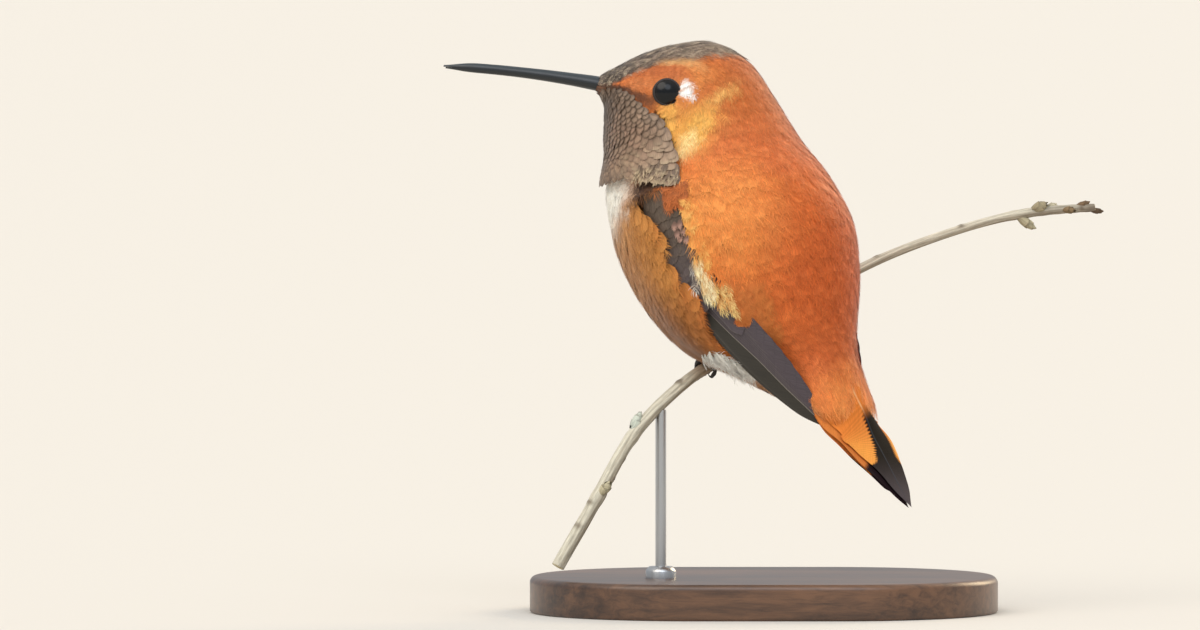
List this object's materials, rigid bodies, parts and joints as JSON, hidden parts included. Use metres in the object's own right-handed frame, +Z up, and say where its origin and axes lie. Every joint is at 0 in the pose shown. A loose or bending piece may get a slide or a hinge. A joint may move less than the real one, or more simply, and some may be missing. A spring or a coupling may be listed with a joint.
{
  "type": "perched rufous hummingbird model",
  "caption": "Still life-size model of an adult male rufous hummingbird, head turned to its left, gripping a cut twig that a plain display stand holds up.",
  "frame": {"origin": "centre of the stand's flat underside, at the height of the surface that it stands on", "axes": "+Z up; -X the way the bill points; -Y the side that the bird's left wing and the left of its face are seen from; the bird's own trunk is turned 35 degrees about Z so that it faces -X and +Y"},
  "size_m": [0.0731, 0.038, 0.0634],
  "materials": {
    "plumage_rufous": "soft silky feathers",
    "plumage_brown": "scale-like feathers",
    "flight_feathers": "smooth matt vanes",
    "horn": "smooth satin horn",
    "eye": "wet gloss",
    "leg_skin": "fine dry scutes",
    "bark": "dry weathered bark",
    "stand_wood": "satin varnish",
    "stand_steel": "drawn satin"
  },
  "bodies": {
    "root": {"head": "plumage_rufous", "neck": "plumage_rufous", "trunk": "plumage_rufous", "gorget": "plumage_brown", "bill_upper": "horn", "bill_lower": "horn", "eye_left": "eye", "eye_right": "eye", "wing_left_coverts": "plumage_brown", "wing_left_primaries": "flight_feathers", "wing_right_coverts": "plumage_brown", "wing_right_primaries": "flight_feathers", "tail_coverts": "plumage_rufous", "tail_top": "plumage_rufous", "tail_left": "plumage_rufous", "tail_right": "plumage_rufous", "leg_left": "leg_skin", "leg_right": "leg_skin", "perch": "bark", "stand_base": "stand_wood", "stand_rod": "stand_steel"}
  },
  "joints": []
}
